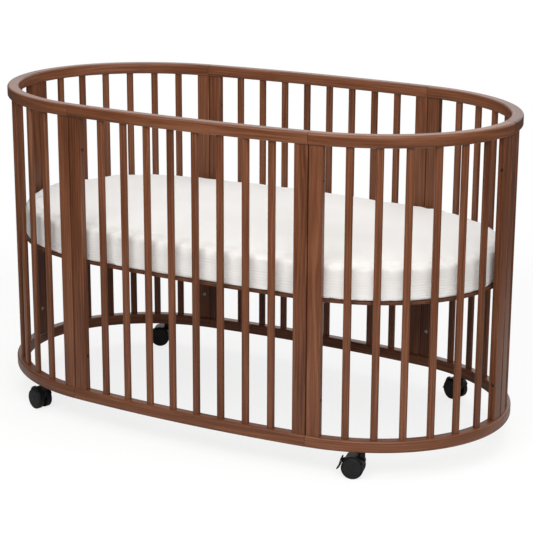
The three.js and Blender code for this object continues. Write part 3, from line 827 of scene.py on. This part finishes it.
ztop = mat_hi.z
pad.data.update()
normals = [v.normal.copy() for v in pad.data.vertices]
for v, nrm in zip(pad.data.vertices, normals):
    x, y, z = v.co
    if z < mat_lo.z + 0.004:
        continue
    s, inset = nearest(x, y)
    down = max(0.0, ztop - z)
    edge = math.exp(-((down + 0.35 * inset) / 0.030) ** 2) * (1 - math.exp(-((down + inset) / 0.012) ** 2) * 0.5)
    fold = noise.noise(Vector((s * 9 + down * 26, inset * 7, down * 22 + 3.7)))
    fold2 = noise.noise(Vector((s * 21 - down * 60, inset * 16, 8.1)))
    soft = noise.noise(Vector((x * 5.5, y * 5.5, 2.0)))
    amount = 0.0021 * edge * fold + 0.0010 * edge * fold2
    if nrm.z > 0.6:
        amount += 0.0011 * soft + 0.0007 * noise.noise(Vector((x * 13, y * 17, 5.0)))
    elif abs(nrm.z) < 0.6:
        amount += 0.0006 * noise.noise(Vector((s * 5, z * 18, 1.0)))
    v.co += nrm * amount
for v in pad.data.vertices:
    v.co.z = max(v.co.z, mat_lo.z)
pad.data.materials.clear()
pad.data.materials.append(COVER)
pad.data.polygons.foreach_set("use_smooth", [True] * len(pad.data.polygons))
pad.data.update()
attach(pad, "mattress")
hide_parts("mattress")

# ---------------------------------------------------------------- casters
TRAIL, AXLE, WHEEL_R, WHEEL_GAP = 0.020, 0.0275, 0.0275, 0.009
joint = {j["name"]: j for j in frame["joints"]}


def extruded(outline_xz, y0, y1, ease, place, n=3):
    """Outline in the caster's XZ plane, drawn out along Y, its rims rounded over."""
    def inset_outline(by):
        if by <= 0:
            return list(outline_xz)
        out = []
        m = len(outline_xz)
        for i in range(m):
            p, q, r = outline_xz[i - 1], outline_xz[i], outline_xz[(i + 1) % m]
            d1 = Vector((q[0] - p[0], q[1] - p[1])).normalized()
            d2 = Vector((r[0] - q[0], r[1] - q[1])).normalized()
            nrm = Vector((-d1.y - d2.y, d1.x + d2.x))
            if nrm.length < 1e-6:
                nrm = Vector((-d1.y, d1.x))
            nrm.normalize()
            c = max(0.5, nrm.dot(Vector((-d1.y, d1.x))))
            out.append((q[0] + nrm.x * by / c, q[1] + nrm.y * by / c))
        return out
    rings = []
    steps = [(ease * (1 - math.sin(math.pi / 2 * k / n)), ease * (1 - math.cos(math.pi / 2 * k / n))) for k in range(n + 1)]
    for by, dy in steps:
        rings.append([tuple(place @ Vector((x, y0 + dy, z))) for x, z in inset_outline(by)])
    for by, dy in reversed(steps):
        rings.append([tuple(place @ Vector((x, y1 - dy, z))) for x, z in inset_outline(by)])
    return loft(rings)


def smooth_closed(pts, n=6):
    """Closed Catmull-Rom curve through points."""
    out = []
    m = len(pts)
    for i in range(m):
        p0, p1, p2, p3 = pts[i - 1], pts[i], pts[(i + 1) % m], pts[(i + 2) % m]
        for k in range(n):
            t = k / n
            out.append(tuple(0.5 * (2 * b + (c - a) * t + (2 * a - 5 * b + 4 * c - d) * t * t + (3 * b - a - 3 * c + d) * t ** 3) for a, b, c, d in zip(p0, p1, p2, p3)))
    return out


for key in ("front_right", "front_left", "back_left", "back_right"):
    pos = joint[f"{key}_swivel"]["pos_m"]
    ax = joint[f"{key}_wheel_a_spin"]["axis"]
    rz = math.atan2(-ax[0], ax[1])
    place = at(pos[0], pos[1], 0, rz)
    swivel = f"caster_{key}_swivel"

    # hood: a curved mudguard over both wheels, thickest over the middle
    rings = []
    inner, outer = 0.0286, 0.0312
    sec = rounded(0.0395, outer - inner, 0.0011, 4)
    for i in range(33):
        t = i / 32
        a = math.radians(128 - 106 * t)
        end = min(t, 1 - t)
        narrow = 1 - 0.30 * max(0, 1 - end / 0.10) ** 2
        thin = 1 - 0.45 * max(0, 1 - end / 0.06) ** 2
        rc = (inner + outer) / 2
        rings.append([tuple(place @ Vector((-TRAIL + (rc + v * thin) * math.cos(a), u * narrow, AXLE + (rc + v * thin) * math.sin(a)))) for u, v in sec])
    v, f = loft(rings)
    new_object(f"caster_{key}_hood", v, f, HOUSING, swivel, replaces=(f"caster_{key}_housing",))

    # web between the wheels, with the lug for the lever
    P = (-0.0495, 0.041)
    web = [
        (0.0075, 0.0400), (0.0085, 0.0500), (0.0030, 0.0545), (-0.0080, 0.0570), (-0.0200, 0.0580), (-0.0310, 0.0552), (-0.0400, 0.0490),
        (P[0] + 0.0030, P[1] + 0.0048), (P[0] - 0.0015, P[1] + 0.0038), (P[0] - 0.0034, P[1] + 0.0008), (P[0] - 0.0026, P[1] - 0.0026),
        (P[0] + 0.0012, P[1] - 0.0040), (-0.0400, 0.0240), (-0.0300, 0.0160), (-0.0180, 0.0150), (-0.0060, 0.0210), (0.0030, 0.0300),
    ]
    v, f = extruded(smooth_closed(web, 5), -0.0033, 0.0033, 0.0009, place)
    new_object(f"caster_{key}_web", v, f, HOUSING, swivel)

    # neck, race and stem
    prof = [(0, 0.0526), (0.0070, 0.0526), (0.0084, 0.0533), (0.0090, 0.0548), (0.0090, 0.0600), (0.0087, 0.0606), (0.0080, 0.0609), (0.0080, 0.0616),
            (0.0087, 0.0619), (0.0091, 0.0626), (0.0091, 0.0660), (0.0086, 0.0668), (0.0078, 0.0670), (0.0042, 0.0670), (0.0040, 0.0675), (0.0040, 0.0868), (0.0030, 0.0880), (0, 0.0880)]
    v, f, bands = lathe(prof, place, 48)
    new_object(f"caster_{key}_neck", v, f, [HOUSING, ZINC], swivel, face_mats=[1 if b >= 13 else 0 for b in bands])

    # axle, with its riveted ends behind the wheel faces
    v, f, _ = lathe([(0, -0.0188), (0.0024, -0.0188), (0.0030, -0.0182), (0.0030, 0.0182), (0.0024, 0.0188), (0, 0.0188)], place @ Matrix.Translation((-TRAIL, 0, AXLE)), 24, "y")
    new_object(f"caster_{key}_axle", v, f, ZINC, swivel)

    # wheels: soft tyre, groove, slightly dished face and a hub cap
    prof = [
        (0, 0.0050), (0.0062, 0.0050), (0.0068, 0.0046), (0.0100, 0.0046), (0.0106, 0.0056), (0.0205, 0.0056), (0.0211, 0.0046), (0.0250, 0.0046), (0.0266, 0.0050),
        (0.02735, 0.0062), (0.0275, 0.0078), (0.0275, 0.0172), (0.02735, 0.0184), (0.0268, 0.0194), (0.0258, 0.0201), (0.0249, 0.0203), (0.0243, 0.0201), (0.0240, 0.0196),
        (0.0236, 0.0196), (0.0233, 0.0201), (0.0226, 0.0204), (0.0180, 0.0207), (0.0120, 0.0210), (0.0086, 0.0211), (0.0082, 0.0208), (0.0078, 0.0208), (0.0074, 0.0212), (0.0040, 0.0215), (0, 0.0216),
    ]
    for w, side in (("a", 1), ("b", -1)):
        turned = place @ Matrix.Translation((-TRAIL, 0, AXLE))
        if side < 0:
            turned = turned @ Matrix.Rotation(math.pi, 4, "Z")
        v, f, bands = lathe(prof, turned, 72, "y")
        new_object(f"caster_{key}_roller_{w}", v, f, [TYRE, DISC], f"caster_{key}_wheel_{w}", replaces=(f"caster_{key}_wheel_{w}",), face_mats=[1 if b >= 18 else 0 for b in bands])

    # brake lever: a curved tongue, narrow at the top, flaring to a toe at the bottom
    spine = [(-0.0470, 0.0516, 0.0052, 0.0026), (-0.0474, 0.0500, 0.0066, 0.0036), (-0.0483, 0.0465, 0.0078, 0.0042), (-0.0494, 0.0425, 0.0088, 0.0046), (-0.0505, 0.0385, 0.0094, 0.0048),
             (-0.0516, 0.0345, 0.0097, 0.0047), (-0.0527, 0.0305, 0.0099, 0.0045), (-0.0540, 0.0270, 0.0100, 0.0042), (-0.0558, 0.0238, 0.0100, 0.0038), (-0.0580, 0.0211, 0.0100, 0.0034), (-0.0602, 0.0189, 0.0097, 0.0024)]
    rings = []
    for i, (x, z, hw, th) in enumerate(spine):
        q0, q1 = spine[max(0, i - 1)], spine[min(len(spine) - 1, i + 1)]
        tx, tz = q1[0] - q0[0], q1[1] - q0[1]
        s_ = math.hypot(tx, tz)
        nx, nz = -tz / s_, tx / s_
        rings.append([tuple(place @ Vector((x + nx * vv, u, z + nz * vv))) for u, vv in rounded(2 * hw, th, th * 0.42, 4)])
    v, f = loft(rings)
    new_object(f"caster_{key}_toe_lever", v, f, HOUSING, f"caster_{key}_brake", replaces=(f"caster_{key}_brake_lever",))
    v, f, _ = lathe([(0, -0.0105), (0.0012, -0.0105), (0.0017, -0.0100), (0.0017, 0.0100), (0.0012, 0.0105), (0, 0.0105)], place @ Matrix.Translation((P[0] + 0.0004, 0, P[1])), 20, "y")
    new_object(f"caster_{key}_lever_pin", v, f, ZINC, f"caster_{key}_brake")

# ---------------------------------------------------------------- floor, light and camera
fl = bpy.data.meshes.new("floor")
N = 96
fl.from_pydata([(0, 0, 0)] + [(r * math.cos(2 * math.pi * i / N), r * math.sin(2 * math.pi * i / N), 0) for r in (0.5, 1.0, 1.6, 2.2) for i in range(N)], [],
               [(0, 1 + i, 1 + (i + 1) % N) for i in range(N)] + [(1 + k * N + i, 1 + (k + 1) * N + i, 1 + (k + 1) * N + (i + 1) % N, 1 + k * N + (i + 1) % N) for k in range(3) for i in range(N)])
floor = bpy.data.objects.new("floor", fl)
scene.collection.objects.link(floor)
fm = Nodes("pale_floor")
fm.t.nodes.remove(fm.bsdf)
p = fm.coords()
q = fm.split(p)
dist = fm.math("SQRT", fm.math("ADD", fm.math("MULTIPLY", q[0], q[0]), fm.math("MULTIPLY", q[1], q[1])))
grey = fm.node("ShaderNodeBsdfDiffuse")
grey.inputs[0].default_value = (0.60, 0.60, 0.60, 1)
seen = fm.node("ShaderNodeBsdfDiffuse")
seen.inputs[0].default_value = (0.22, 0.22, 0.22, 1)
lift = fm.node("ShaderNodeEmission")
lift.inputs[0].default_value = (1, 1, 1, 1)
lift.inputs[1].default_value = 0.775
both = fm.node("ShaderNodeAddShader")
fm.link(seen.outputs[0], both.inputs[0])
fm.link(lift.outputs[0], both.inputs[1])
ray = fm.node("ShaderNodeLightPath")
pick = fm.node("ShaderNodeMixShader")
fm.link(ray.outputs["Is Camera Ray"], pick.inputs[0])
fm.link(grey.outputs[0], pick.inputs[1])
fm.link(both.outputs[0], pick.inputs[2])
clear = fm.node("ShaderNodeBsdfTransparent")
fade = fm.node("ShaderNodeMixShader")
fm.link(fm.remap(dist, 1.25, 2.1), fade.inputs[0])
fm.link(pick.outputs[0], fade.inputs[1])
fm.link(clear.outputs[0], fade.inputs[2])
fm.link(fade.outputs[0], fm.t.nodes["Material Output"].inputs[0])
fl.materials.append(fm.mat)

world = bpy.data.worlds.new("studio")
scene.world = world
world.use_nodes = True
wt = world.node_tree
wt.nodes.clear()


def wn(kind, **props):
    n = wt.nodes.new(kind)
    for k, v in props.items():
        setattr(n, k, v)
    return n


tc = wn("ShaderNodeTexCoord")
sep = wn("ShaderNodeSeparateXYZ")
wt.links.new(tc.outputs["Generated"], sep.inputs[0])
up = wn("ShaderNodeMapRange", interpolation_type="SMOOTHSTEP")
wt.links.new(sep.outputs[2], up.inputs[0])
for i, v in enumerate((0.1, 1.0, 0.0, 0.42)):
    up.inputs[i + 1].default_value = v
behind = wn("ShaderNodeMapRange", interpolation_type="SMOOTHSTEP")
wt.links.new(sep.outputs[1], behind.inputs[0])
for i, v in enumerate((0.35, 0.9, 0.0, 1.25)):
    behind.inputs[i + 1].default_value = v
add1 = wn("ShaderNodeMath", operation="ADD")
add2 = wn("ShaderNodeMath", operation="ADD")
wt.links.new(up.outputs[0], add1.inputs[0])
sky = wn("ShaderNodeMapRange", interpolation_type="SMOOTHSTEP")
wt.links.new(sep.outputs[2], sky.inputs[0])
for i, v in enumerate((-0.03, 0.08, 0.0, 1.0)):
    sky.inputs[i + 1].default_value = v
above = wn("ShaderNodeMath", operation="MULTIPLY")
wt.links.new(behind.outputs[0], above.inputs[0])
wt.links.new(sky.outputs[0], above.inputs[1])
wt.links.new(above.outputs[0], add1.inputs[1])
wt.links.new(add1.outputs[0], add2.inputs[0])
add2.inputs[1].default_value = 0.10
bg = wn("ShaderNodeBackground")
bg.inputs[0].default_value = (1.0, 1.0, 1.0, 1)
wt.links.new(add2.outputs[0], bg.inputs[1])
white = wn("ShaderNodeBackground")
white.inputs[0].default_value = (1, 1, 1, 1)
white.inputs[1].default_value = 1.0
lp = wn("ShaderNodeLightPath")
mixw = wn("ShaderNodeMixShader")
wt.links.new(lp.outputs["Is Camera Ray"], mixw.inputs[0])
wt.links.new(bg.outputs[0], mixw.inputs[1])
wt.links.new(white.outputs[0], mixw.inputs[2])
ow = wn("ShaderNodeOutputWorld")
wt.links.new(mixw.outputs[0], ow.inputs[0])


def area(name, loc, target, size, energy, color=(1, 1, 1)):
    d = bpy.data.lights.new(name, "AREA")
    d.shape = "RECTANGLE"
    d.size, d.size_y = size
    d.energy = energy
    d.color = color
    o = bpy.data.objects.new(name, d)
    scene.collection.objects.link(o)
    o.location = loc
    o.rotation_euler = (Vector(target) - Vector(loc)).to_track_quat("-Z", "Y").to_euler()
    return o


area("key", (0.45, -1.85, 1.75), (0.05, -0.2, 0.45), (2.8, 1.5), 44, (1, 0.99, 0.975))
area("side", (2.2, -1.3, 1.5), (0.45, 0.0, 0.45), (2.4, 1.8), 22, (1, 0.99, 0.98))
area("top", (0.0, 0.3, 3.4), (0, 0, 0.4), (3.0, 2.4), 30, (1, 1, 1))
for o in scene.objects:
    if o.type == "LIGHT":
        o.visible_camera = False

cam_data = bpy.data.cameras.new("camera")
cam = bpy.data.objects.new("camera", cam_data)
scene.collection.objects.link(cam)
yaw, pitch, roll = 0.504496, 0.281541, 0.004101
fwd = Vector((-math.sin(yaw) * math.cos(pitch), math.cos(yaw) * math.cos(pitch), -math.sin(pitch)))
right = Vector((math.cos(yaw), math.sin(yaw), 0))
upv = right.cross(fwd)
r2 = right * math.cos(roll) + upv * math.sin(roll)
u2 = -right * math.sin(roll) + upv * math.cos(roll)
m = Matrix((r2, u2, -fwd)).transposed().to_4x4()
m.translation = Vector((2.124241, -3.782725, 1.642236))
cam.matrix_world = m
cam_data.sensor_width = 36
cam_data.lens = 1707.525 / 533 * 36
cam_data.clip_end = 200
scene.camera = cam
scene.view_settings.view_transform = "Standard"
